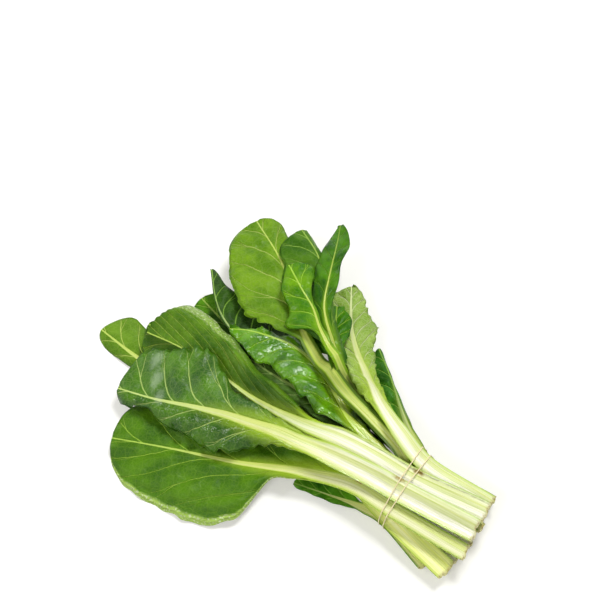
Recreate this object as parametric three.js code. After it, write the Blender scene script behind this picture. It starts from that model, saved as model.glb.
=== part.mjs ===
// A bunch of green Swiss chard lying on a table: seventeen whole leaves, each a pale stalk that runs on
// as the midrib of a broad green blade, held together near the cut ends by two thin rubber bands.
// Millimetres, +Z up. +X runs along the stalks towards their cut ends, and the blades fan out towards -X.
import * as THREE from "three";

// Driving dimensions
const BLADE = 1.2; // thickness of a blade
const GAP = 1.2; // clear height kept between a leaf and the leaves under it
const STALK_STEPS = 5; // steps along a leaf's stalk
const BLADE_STEPS = 18; // steps along its blade
const RIB_STEPS = 2; // steps across each half of the stalk and midrib
const WING_STEPS = 3; // steps across each half of the blade
const RIM = 0.8; // thin edge along the stalk, from which the blade widens
const RIB_TIP = 1; // half width of the midrib at the leaf's tip
const RIB_TAPER = 1.4; // how the midrib narrows along the blade: 1 is evenly, higher is sooner
const THICK_TAPER = 1.2; // and how it gets thinner
const OPENING = 1 / 3; // share of the blade's length over which the stalk opens out into the blade
const WAVE_SHIFT = 2; // radians between the waves of a leaf's two margins
const GROOVE = 14; // degrees that each side of a stalk turns up, which makes its section a crescent
const TIP_CUT = 0.985; // the share of the blade's length at which its rounded end is closed
const ROUNDING = 8; // how late the outline turns in to the leaf's end: higher is blunter
const CURVE_STEPS = 400; // short chords in which a spine's length is measured
const CELL = 2; // grid cell of the pile's height map
const STALK_SPREAD = [8, 2]; // cells, along X and Y, over which a stalk gives way around a leaf under it
const BLADE_SPREAD = [8, 8]; // and cells over which a blade does
const REACH = 480; // half side of the height map
const FINE = 8; // samples along each side of a quad
const LEAF_ROUGHNESS = 0.45;
const BAND_TONE = 0xcdbf86; // plain rubber
const BAND_ROUGHNESS = 0.6;
const BAND_STEPS = 60; // steps round a band
const BAND_WIDTH = 2;
const BAND_THICK = 1.2;
const BAND_GAP = 0.5; // between the stalks and the band's inner side
const BAND_SECTION = [ // distance outwards and along the stalks of each corner of the band's section
  [BAND_GAP, -BAND_WIDTH / 2], [BAND_GAP, BAND_WIDTH / 2],
  [BAND_GAP + BAND_THICK, BAND_WIDTH / 2], [BAND_GAP + BAND_THICK, -BAND_WIDTH / 2],
];
// place: where the band crosses the bundle's middle. slant: degrees by which it is askew.
const BANDS = [
  { name: "rubber_band_01", place: -4, slant: 2 },
  { name: "rubber_band_02", place: 4, slant: -1.5 },
];
const FAN = -118; // where the order of the tied stalks gives way to the order of the blades
const FADE = 20; // length over which one order fades into the other

// The leaves in the order in which they lie, the lowest first. spine: points along the midrib's upper face,
// from the cut end to the tip. neck: the spine point, or a place between two, where the blade starts.
// stalk: width and thickness. wave: height and number of the waves along the margins. left and right: the
// two halves of the blade, as seen from the cut end. half: half widths at even steps from the neck to the
// tip. turn: how many degrees the half is turned up, at even steps from the midrib to its margin.
const LEAVES = [
  {
    name: "leaf_01", tone: 0x56711b,
    spine: [
      [52, -46, 8], [-5, -29.5, 9], [-31, -32, 9], [-62, -39, 8], [-92, -46, 6],
    ],
    neck: 1.6, stalk: [10, 5], wave: [1, 4], tied: 1,
    left: { half: [6, 6, 6, 6, 5, 5, 6], turn: [-5, -5] },
    right: { half: [6, 10, 14, 14, 12, 10, 12], turn: [0, 0] },
  },
  {
    name: "leaf_02", tone: 0x759b41,
    spine: [
      [74, -24, 10], [0, -18, 10], [-89, -6, 12], [-165, -15, 13], [-232, -22, 12], [-285, -26, 11],
      [-347, -19, 5],
    ],
    neck: 3.3, stalk: [15, 6.5], wave: [1, 4], tied: 2,
    left: { half: [9, 14, 14, 12, 12, 16, 22], turn: [-4, -64] },
    right: { half: [9, 18, 26, 30, 28, 38, 62], turn: [2, -28] },
  },
  {
    name: "leaf_03", tone: 0x4f7c1e,
    spine: [
      [76, -6, 10], [0, 0, 10], [-90, 11, 15], [-145, 23, 18], [-206, 41, 18], [-285, 66, 10],
    ],
    neck: 3, stalk: [15, 6.5], wave: [1, 5], tied: 3,
    left: { half: [9, 20, 32, 36, 34, 28, 40], turn: [0, -15] },
    right: { half: [9, 20, 32, 36, 38, 38, 50], turn: [0, -15] },
  },
  {
    name: "leaf_04", tone: 0x5f8f35,
    spine: [
      [72, 43, 11], [2, 41.5, 12], [-22, 53, 14], [-48, 72, 16], [-74, 95, 14], [-106, 121, 8],
    ],
    neck: 1.7, stalk: [10, 5], wave: [1, 4], tied: 4,
    left: { half: [6, 9, 12, 14, 15, 13, 14], turn: [-10, -30] },
    right: { half: [5, 6, 7, 4, 2, 3, 8], turn: [-30, -60] },
  },
  {
    name: "leaf_05", tone: 0x4a7a24,
    spine: [
      [73, -41, 14], [-2, -27, 19], [-80, -4, 20], [-156, 6, 22], [-241, 15, 21], [-309, 10, 12],
    ],
    neck: 3, stalk: [20, 6.5], wave: [1, 5], tied: 6,
    left: { half: [11, 20, 28, 30, 28, 24, 30], turn: [0, -10] },
    right: { half: [11, 20, 26, 24, 18, 14, 18], turn: [0, -10] },
  },
  {
    name: "leaf_06", tone: 0x335611,
    spine: [
      [77, -9, 20], [0, -6, 20], [-87, 14, 24], [-152, 25, 28], [-209, 38, 30], [-244, 50, 31],
      [-262, 62, 32], [-288, 89, 32],
    ],
    neck: 2.9, stalk: [15, 6.5], wave: [1.5, 6], tied: 7,
    left: { half: [9, 7, 6, 4, 3, 2, 2], turn: [30, 40] },
    right: { half: [9, 34, 52, 60, 50, 22, 10], turn: [-5, -25] },
  },
  {
    name: "leaf_07", tone: 0x5f7e40,
    spine: [
      [75, 11, 9.5], [0, 15, 10], [-62, 21, 20], [-105, 24, 28], [-134, 24, 32], [-165, 24, 33],
      [-194, 26, 32],
    ],
    neck: 2.5, stalk: [13, 6], wave: [1.5, 4], tied: 8,
    left: { half: [7, 14, 16, 16, 14, 12, 14], turn: [0, -20] },
    right: { half: [7, 14, 16, 16, 14, 12, 14], turn: [0, -20] },
  },
  {
    name: "leaf_08", tone: 0x588c10,
    spine: [
      [78, 10, 20], [0, 13, 20], [-44, 20, 26], [-76, 27, 30], [-100, 40, 33], [-128, 52, 36],
      [-151, 58, 38], [-169, 59, 40], [-191, 54, 41], [-211, 48, 40], [-229, 40, 38],
    ],
    neck: 3.2, stalk: [10, 5.5], wave: [2.5, 6], tied: 9,
    left: { half: [8, 10, 20, 24, 34, 36, 35, 33, 33, 34, 26, 23, 18], turn: [-5, -25] },
    right: { half: [6, 8, 10, 12, 14, 15, 16, 16, 14, 11, 8, 7, 6], turn: [-25, -55] },
  },
  {
    name: "leaf_09", tone: 0xabc37a,
    spine: [
      [74, 30, 31], [2, 28, 37], [-27, 37, 40], [-67, 57, 40], [-104, 84, 35], [-133, 112, 30],
      [-163, 156, 26],
    ],
    neck: 2.1, stalk: [16, 7], wave: [2, 7], tied: 15,
    left: { half: [10, 11, 12, 14, 18, 18, 18, 19, 20, 24, 28, 32, 36], turn: [-5, -15] },
    right: { half: [10, 10, 10, 10, 11, 12, 17, 19, 25, 28, 21, 22, 23], turn: [-5, -25] },
  },
  {
    name: "leaf_10", tone: 0x4b800f,
    spine: [
      [72, 30, 9.5], [0, 29, 9.5], [-35, 42, 13], [-82, 55, 16], [-100, 60, 22], [-112, 63, 30],
      [-137, 86, 39], [-147, 104, 40], [-157, 121, 40],
    ],
    neck: 5.2, stalk: [6, 3], wave: [1, 3], tied: 5,
    left: { half: [3, 3, 5, 8, 10, 8, 6], turn: [10, 10] },
    right: { half: [3, 4, 10, 15, 16, 17, 12], turn: [5, -15] },
  },
  {
    name: "leaf_11", tone: 0x6d9430,
    spine: [
      [80, -22, 28], [-3, -26, 29], [-40, -26, 28], [-89, -40, 24], [-147, -64, 16], [-203, -84, 11],
      [-262, -107, 5],
    ],
    neck: 2.4, stalk: [15, 6.5], wave: [1.5, 5], tied: 10,
    left: { half: [9, 8, 9, 13, 24, 58, 65, 68, 67, 64, 62, 61, 57], turn: [4, 2, -2, -8, -18, -60] },
    right: { half: [9, 11, 16, 20, 21, 22, 24, 25, 27, 31, 36, 57, 69], turn: [4, 4] },
  },
  {
    name: "leaf_12", tone: 0x8db347,
    spine: [
      [79, 7, 29], [0, 15, 29], [-26, 28, 33], [-66, 38, 37], [-102, 45, 42], [-132, 55, 46],
      [-165, 73, 47], [-228, 128, 45], [-283, 160, 38],
    ],
    neck: 5.8, stalk: [8, 5], wave: [1.5, 5], tied: 14,
    left: { half: [6, 30, 37, 42, 48, 52, 54, 55, 55, 53, 51, 53, 58], turn: [0, -12] },
    right: { half: [6, 14, 20, 23, 24, 25, 24, 21, 18, 18, 22, 29, 30], turn: [5, -5] },
  },
  {
    name: "leaf_13", tone: 0x648c40,
    spine: [
      [73, 41, 18], [0, 36, 17], [-35, 39, 18], [-82, 50, 21], [-100, 55, 27], [-112, 59, 36],
      [-177, 128, 52], [-202, 153, 52], [-235, 172, 47],
    ],
    neck: 5, stalk: [5, 3], wave: [1, 4], tied: 11,
    left: { half: [5, 18, 34, 40, 41, 38, 56], turn: [2, -14] },
    right: { half: [5, 8, 6, 5, 5, 8, 16], turn: [-20, -60] },
  },
  {
    name: "leaf_14", tone: 0x4b7b0f,
    spine: [
      [74, 23, 19], [0, 25, 20.5], [-35, 38, 24], [-82, 50, 26.5], [-100, 55, 33], [-112, 59, 42],
      [-133, 76, 50], [-159, 101, 57], [-174, 131, 59], [-190, 167, 54], [-206, 199, 48],
    ],
    neck: 5.2, stalk: [5, 3], wave: [1, 4], tied: 12,
    left: { half: [5, 5, 7, 16, 18, 14, 8], turn: [-20, -30] },
    right: { half: [5, 5, 7, 11, 10, 16, 12], turn: [15, 25] },
  },
  {
    name: "leaf_15", tone: 0x70a21c,
    spine: [
      [76, 22, 26], [0, 27, 27], [-35, 37, 29.5], [-82, 49, 32], [-100, 55, 39], [-112, 58, 47],
      [-145, 75, 59], [-168, 94, 62], [-191, 106, 63], [-215, 121, 62],
    ],
    neck: 5.2, stalk: [6, 3], wave: [1, 4], tied: 13,
    left: { half: [4, 4, 4, 5, 10, 27, 31, 24, 20, 20, 20, 14, 12], turn: [0, -30] },
    right: { half: [3, 3, 3, 3, 3, 3, 3, 4, 8, 15, 24, 33, 36], turn: [-10, -30] },
  },
  {
    name: "leaf_16", tone: 0x6a903e,
    spine: [
      [77, 17, 36], [1, 7, 37], [-37, 6, 40], [-75, 2, 41], [-113, -6, 42], [-163, -10, 42],
      [-220, -4, 38], [-258, -2, 34], [-299, -3, 24],
    ],
    neck: 3, stalk: [20, 7.5], wave: [1.5, 5], tied: 16,
    left: { half: [11, 12, 16, 25, 32, 28, 40], turn: [0, -15] },
    right: { half: [11, 14, 17, 24, 28, 30, 32, 38, 44, 50, 60, 76, 84], turn: [20, 34, 30, -22, -40, -34] },
  },
  {
    name: "leaf_17", tone: 0x5d872a,
    spine: [
      [78, -3, 35], [-1, -15, 36], [-24, -13, 38], [-61, -15, 41], [-101, -23, 44], [-147, -33, 42],
      [-193, -44, 37], [-241, -58, 29], [-285, -67, 20],
    ],
    neck: 3.2, stalk: [19, 7.5], wave: [2, 5], tied: 17,
    left: { half: [10, 11, 12, 14, 19, 31, 36, 32, 27, 23, 13, 19, 33], turn: [-8, -12, -30, -46, -36] },
    right: { half: [10, 11, 12, 14, 17, 20, 27, 45, 60, 57, 57, 66, 82], turn: [4, -8] },
  },
];

const degrees = Math.PI / 180;
const mix = (a, b, share) => a + (b - a) * share;
const smooth = (share) => share * share * (3 - 2 * share);

// A value at share u of an even row of values, on a smooth curve through all of them.
function along(values, u) {
  const steps = values.length - 1;
  const i = Math.min(steps - 1, Math.floor(u * steps));
  const t = u * steps - i;
  const [a, b] = [values[i], values[i + 1]];
  const before = i > 0 ? values[i - 1] : 2 * a - b;
  const after = i + 2 <= steps ? values[i + 2] : 2 * b - a;
  const [start, end] = [(b - before) / 2, (after - a) / 2];
  const [second, third] = [3 * (b - a) - 2 * start - end, 2 * (a - b) + start + end];
  return a + start * t + second * t ** 2 + third * t ** 3;
}

// The lengths along a leaf at which its section is placed: even steps on the stalk, and steps on the blade
// that shorten towards its rounded end.
function stations(neckAt, length) {
  const places = [];
  for (let i = 0; i < STALK_STEPS; i++) places.push((neckAt * i) / STALK_STEPS);
  for (let i = 0; i <= BLADE_STEPS; i++) {
    places.push(mix(neckAt, length, TIP_CUT * Math.sin(((i / BLADE_STEPS) * Math.PI) / 2)));
  }
  return places;
}

// One half of a leaf's section at share u of its blade: places from the midrib's middle out to the margin,
// each as its distance sideways and upwards and the stalk's thickness there. The half is a chain of steps,
// each in the direction that turn gives at its middle, and the margin's waves come on top.
function halfSection({ stalk, wave }, half, shift, u) {
  const opened = smooth(Math.min(1, u / OPENING));
  const rib = mix(RIB_TIP, stalk[0] / 2, (1 - u) ** RIB_TAPER);
  const thick = stalk[1] * (1 - u) ** THICK_TAPER;
  const rounded = along(half.half, u) * Math.sqrt(1 - u ** ROUNDING);
  const wing = Math.max(RIM, opened * (rounded - rib));
  const reach = rib + wing;
  const lift = wave[0] * opened * Math.sin(2 * Math.PI * wave[1] * u + shift);
  const places = [[0, 0, thick]];
  let [out, sideways, raised] = [0, 0, 0];
  for (let k = 1; k <= RIB_STEPS + WING_STEPS; k++) {
    const step = k <= RIB_STEPS ? rib / RIB_STEPS : wing / WING_STEPS;
    const turn = mix(GROOVE, along(half.turn, (out + step / 2) / reach), opened) * degrees;
    out += step;
    sideways += step * Math.cos(turn);
    raised += step * Math.sin(turn);
    const swell = thick * Math.sqrt(Math.max(0, 1 - (out / rib) ** 2));
    places.push([sideways, raised + lift * (out / reach) ** 2, swell]);
  }
  return places;
}

// The upper and lower faces of one leaf as two grids of points, rows along the leaf and columns across it.
function leafFaces(leaf) {
  const points = leaf.spine.map((p) => new THREE.Vector3(...p));
  const curve = new THREE.CatmullRomCurve3(points, false, "centripetal");
  const length = curve.getLength();
  const neckShare = leaf.neck / (leaf.spine.length - 1);
  const neckAt = curve.getLengths(CURVE_STEPS)[Math.round(CURVE_STEPS * neckShare)];
  const chord = curve.getPoint(1).sub(curve.getPoint(neckShare));
  const across = new THREE.Vector3(-chord.y, chord.x, 0).normalize();
  const upper = [];
  const lower = [];
  for (const run of stations(neckAt, length)) {
    const u = Math.max(0, (run - neckAt) / (length - neckAt));
    const centre = curve.getPointAt(run / length);
    const forward = curve.getTangentAt(run / length);
    const side = across.clone().addScaledVector(forward, -across.dot(forward)).normalize();
    const face = new THREE.Vector3().crossVectors(forward, side);
    const right = halfSection(leaf, leaf.right, WAVE_SHIFT, u).map(([out, ...more]) => [-out, ...more]);
    const left = halfSection(leaf, leaf.left, 0, u);
    const section = [...right.slice(1).reverse(), ...left];
    const at = ([out, up]) => centre.clone().addScaledVector(side, out).addScaledVector(face, up);
    upper.push(section.map(at));
    lower.push(section.map((place) => at(place).addScaledVector(face, -BLADE - place[2])));
  }
  return { upper, lower };
}

// A height map of the table: the highest surface over each cell, which starts at the table itself.
const SIDE = Math.ceil((2 * REACH) / CELL);
const cellOf = (p) => Math.round((p.x + REACH) / CELL) + SIDE * Math.round((p.y + REACH) / CELL);

// Calls visit with close samples of a face, a grid of points whose quads are each split into two triangles.
function sample(face, visit) {
  const point = new THREE.Vector3();
  for (let i = 0; i + 1 < face.length; i++) {
    for (let j = 0; j + 1 < face[i].length; j++) {
      for (let a = 0; a <= FINE; a++) {
        for (let b = 0; b <= FINE; b++) {
          const corner = a > b ? face[i + 1][j] : face[i][j + 1];
          point.copy(face[i][j]).multiplyScalar(1 - Math.max(a, b) / FINE);
          point.addScaledVector(corner, Math.abs(a - b) / FINE);
          visit(point.addScaledVector(face[i + 1][j + 1], Math.min(a, b) / FINE));
        }
      }
    }
  }
}

// One pass of a filter along the rows or the columns of the map: the highest value, or the mean, in reach.
function filter(map, reach, stride, highest) {
  const made = new Float32Array(map.length);
  const across = stride === 1 ? SIDE : 1;
  for (let line = 0; line < SIDE; line++) {
    for (let k = 0; k < SIDE; k++) {
      let value = 0;
      for (let d = -reach; d <= reach; d++) {
        const near = map[line * across + Math.min(SIDE - 1, Math.max(0, k + d)) * stride];
        value = highest ? Math.max(value, near) : value + near / (2 * reach + 1);
      }
      made[line * across + k * stride] = value;
    }
  }
  return made;
}

// Lays a leaf flat where it meets the table.
function rest({ upper, lower }) {
  lower.forEach((row, i) =>
    row.forEach((p, j) => {
      const sunk = Math.max(0, -p.z);
      p.z += sunk;
      upper[i][j].z += sunk;
    }),
  );
}

// Lays leaves on each other in the order given, on the side of FAN that zone gives, +1 or -1. Each gives way
// smoothly upwards around what lies under it. The lift is a field over the table, so that a leaf's two faces
// stay together.
function stack(leaves, zone, spread) {
  const pile = new Float32Array(SIDE * SIDE);
  for (const { upper, lower } of leaves) {
    let lift = new Float32Array(pile.length);
    sample(lower, (p) => {
      const cell = cellOf(p);
      const covers = zone * (p.x - FAN) > 0 && pile[cell] > 0;
      if (covers) lift[cell] = Math.max(lift[cell], pile[cell] + GAP - p.z);
    });
    [1, SIDE].forEach((stride, k) => (lift = filter(lift, spread[k], stride, true)));
    [1, SIDE].forEach((stride, k) => (lift = filter(lift, spread[k] - 1, stride, false)));
    for (const p of [...upper.flat(), ...lower.flat()]) {
      p.z += lift[cellOf(p)] * smooth(Math.min(1, Math.max(0, 1 + (zone * (p.x - FAN)) / FADE)));
    }
    sample(upper, (p) => {
      const cell = cellOf(p);
      if (zone * (p.x - FAN) > 0) pile[cell] = Math.max(pile[cell], p.z);
    });
  }
}

// An indexed geometry of quads, each given as four places in the list of points.
function geometryOf(points, quads) {
  const geometry = new THREE.BufferGeometry();
  const numbers = points.flatMap((p) => p.toArray());
  geometry.setAttribute("position", new THREE.Float32BufferAttribute(numbers, 3));
  geometry.setIndex(quads.flatMap(([a, b, c, d]) => [a, b, c, a, c, d]));
  return geometry;
}

// The closed solid between two faces, with its edges all round.
function solidBetween({ upper, lower }) {
  const rows = upper.length;
  const columns = upper[0].length;
  const points = [...upper.flat(), ...lower.flat()];
  const top = (i, j) => i * columns + j;
  const bottom = (i, j) => rows * columns + i * columns + j;
  const quads = [];
  const quad = (...corners) => quads.push(corners);
  for (let i = 0; i + 1 < rows; i++) {
    for (let j = 0; j + 1 < columns; j++) {
      quad(top(i, j), top(i + 1, j), top(i + 1, j + 1), top(i, j + 1));
      quad(bottom(i, j), bottom(i, j + 1), bottom(i + 1, j + 1), bottom(i + 1, j));
    }
    quad(top(i, 0), bottom(i, 0), bottom(i + 1, 0), top(i + 1, 0));
    const last = columns - 1;
    quad(top(i, last), top(i + 1, last), bottom(i + 1, last), bottom(i, last));
  }
  for (let j = 0; j + 1 < columns; j++) {
    quad(top(0, j), top(0, j + 1), bottom(0, j + 1), bottom(0, j));
    quad(top(rows - 1, j), bottom(rows - 1, j), bottom(rows - 1, j + 1), top(rows - 1, j + 1));
  }
  return geometryOf(points, quads);
}

// A closed band of rectangular section round all the leaves where they cross the upright plane x = place,
// which slant turns about the vertical. Its inner side is the polygon that touches the bundle from BAND_STEPS
// directions, moved out by BAND_GAP.
function bandAround(leaves, { place, slant }) {
  const away = new THREE.Vector3(1, Math.tan(slant * degrees), 0).normalize();
  const offset = place * away.x;
  const crossings = [];
  for (const face of leaves.flatMap(({ upper, lower }) => [upper, lower])) {
    for (let i = 0; i + 1 < face.length; i++) {
      face[i].forEach((p, j) => {
        const next = face[i + 1][j];
        const [from, to] = [p.dot(away) - offset, next.dot(away) - offset];
        if (from * to <= 0 && from !== to) crossings.push(p.clone().lerp(next, from / (from - to)));
      });
    }
  }
  const step = (2 * Math.PI) / BAND_STEPS;
  const facing = (k) => new THREE.Vector3(0, 0, 1).applyAxisAngle(away, k * step);
  const touching = (k) => Math.max(...crossings.map((p) => p.dot(facing(k))));
  const points = [];
  for (let k = 0; k < BAND_STEPS; k++) {
    for (const [reach, shift] of BAND_SECTION) {
      const [here, next] = [touching(k) + reach, touching(k + 1) + reach];
      const point = away.clone().multiplyScalar(offset + shift).addScaledVector(facing(k), here);
      const onwards = new THREE.Vector3().crossVectors(away, facing(k));
      points.push(point.addScaledVector(onwards, (next - here * Math.cos(step)) / Math.sin(step)));
    }
  }
  const corners = BAND_SECTION.length;
  const at = (k, c) => (k % BAND_STEPS) * corners + (c % corners);
  const quads = [];
  for (let k = 0; k < BAND_STEPS; k++) {
    for (let c = 0; c < corners; c++) quads.push([at(k, c), at(k, c + 1), at(k + 1, c + 1), at(k + 1, c)]);
  }
  return geometryOf(points, quads);
}

const shaped = LEAVES.map((leaf) => ({ ...leaf, ...leafFaces(leaf) }));
shaped.forEach(rest);
stack(shaped.toSorted((a, b) => a.tied - b.tied), 1, STALK_SPREAD);
stack(shaped, -1, BLADE_SPREAD);

const bunch = new THREE.Group();
function add(name, geometry, color, roughness) {
  const mesh = new THREE.Mesh(geometry, new THREE.MeshStandardMaterial({ color, roughness, metalness: 0 }));
  mesh.name = name;
  bunch.add(mesh);
}
for (const leaf of shaped) add(leaf.name, solidBetween(leaf), leaf.tone, LEAF_ROUGHNESS);
BANDS.forEach((band) => add(band.name, bandAround(shaped, band), BAND_TONE, BAND_ROUGHNESS));

// The origin goes to the middle of the footprint, on the table.
const box = new THREE.Box3().setFromObject(bunch);
const middle = box.getCenter(new THREE.Vector3());
bunch.children.forEach((mesh) => mesh.geometry.translate(-middle.x, -middle.y, -box.min.z));

export default bunch;
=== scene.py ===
"""A bunch of green Swiss chard lying on a white table, held together by two thin rubber bands."""
import functools
import math

import bpy
import numpy as np
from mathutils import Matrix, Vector


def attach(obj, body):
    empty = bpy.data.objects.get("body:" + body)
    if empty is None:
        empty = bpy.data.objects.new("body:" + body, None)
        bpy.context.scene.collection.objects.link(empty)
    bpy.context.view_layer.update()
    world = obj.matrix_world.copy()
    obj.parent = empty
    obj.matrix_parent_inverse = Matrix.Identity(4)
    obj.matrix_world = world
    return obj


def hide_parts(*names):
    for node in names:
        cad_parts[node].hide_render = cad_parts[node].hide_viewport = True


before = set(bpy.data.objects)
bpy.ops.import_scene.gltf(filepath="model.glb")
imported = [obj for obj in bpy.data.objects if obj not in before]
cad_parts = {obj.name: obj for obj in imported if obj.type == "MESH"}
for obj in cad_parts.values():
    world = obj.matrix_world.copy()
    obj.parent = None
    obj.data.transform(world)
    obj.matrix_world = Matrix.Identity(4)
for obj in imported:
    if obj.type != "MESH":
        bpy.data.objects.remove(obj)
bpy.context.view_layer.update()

# Chard leaves. Each is one piece: a thick pale stalk, crescent in section, that runs on as the midrib of a
# thin green blade with pale side veins. It grows that way. Shapes are worked out in millimetres round the
# place where the bunch is tied, with +X towards the cut ends and the lowest leaf first.
TIE = (132.24, -28.15, 0)  # where the tied place lies in the frame
BLADE = 0.7  # thickness of a blade
CLEAR = 0.4  # kept between a leaf and the leaves under it
STALK_ROWS = 44  # rows of points along a leaf's stalk
BLADE_ROWS = 124  # and along its blade
CROWDING = 0.75  # how much closer the blade's rows lie towards the tip: 0 is evenly
TIP_CUT = 0.9992  # the share of the blade's length at which its rounded end is closed
RIB_COLUMNS = 12  # columns of points across each half of the stalk and midrib
WING_COLUMNS = 24  # and across each half of the blade
GROOVE = 8  # degrees that each side of a stalk turns up, which makes its section a crescent
RIDGES = 3  # ridges on each half of a stalk's upper face
RIDGE_HEIGHT = 0.05  # their height, as a share of the stalk's thickness
RIB_TIP = 0.7  # half width of the midrib at the leaf's tip
THICK_TAPER = 1.2  # how the midrib gets thinner along the blade: 1 is evenly, higher is sooner
RIM = 0.8  # thin edge along the stalk, from which the blade widens
FRINGE_START = 75  # how far from the cut end a wider edge begins
FRINGE_RUN = 35  # and the length over which it widens
OPENING = 1 / 3  # share of the blade's length over which the stalk opens out into the blade
ROUNDING = 8  # how late the outline turns in to the leaf's end: higher is blunter
FRILL = 0.35  # height of a margin's ruffles, as a share of its wave's height
TORN = 1.6  # how far the cut end's fibres stand out
TORN_REACH = 5  # and how far from the cut end that fades
SWOLLEN_FROM = 9  # how far beside the midrib the swelling between the side veins is full
UNEVEN_FROM = 6  # and how far beside it the unevenness is
UNEVEN = (0.45, 0.22)  # heights of the broad and of the small unevenness, as shares of the swelling
VEIN_LEAN = 0.65  # how far a side vein leans towards the tip for each millimetre outwards
VEIN_BEND = 0.3  # and the share by which it leans more at the margin
VEIN_START = 0.42  # how far it first runs along the midrib, as a share of the pitch
VEIN_LEAVES = 0.25  # how far out it has left the midrib, as a share of the pitch
VEIN_DRIFT = 0.22  # how far the side veins are out of step, as a share of the pitch
VEIN_WIDTHS = (1.8, 0.36)  # reach of a side vein's colour, at the midrib and at the margin
VEIN_RELIEF = 0.5  # how far a side vein stands out of the lower face
# The two forks of a side vein: how far out it forks, as the least and greatest share of the half's width, on
# a sine with its turns from one vein to the next and its phase, and how steeply the new branch turns off.
FORKS = (((0.3, 0.8), 0.37, 1, 0.5), ((0.45, 1.1), 0.61, 2, -0.42))

# What every leaf has unless its own row says otherwise, in the words of the next comment.
USUAL = dict(
    taper=1.4, jag=(0.03, 0.03), fringe=RIM, shade_along=(1, 1), net=0.2, contrast=0.85, swell=1, gloss=0.12,
    slick=0, pale="#eeeec4", cream="#fcfbf0", streak="#c6d258", warm="#ccd55c", greener=0.1,
    lime="#a9c62c", bruises_and_sheen=(),
)
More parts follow.
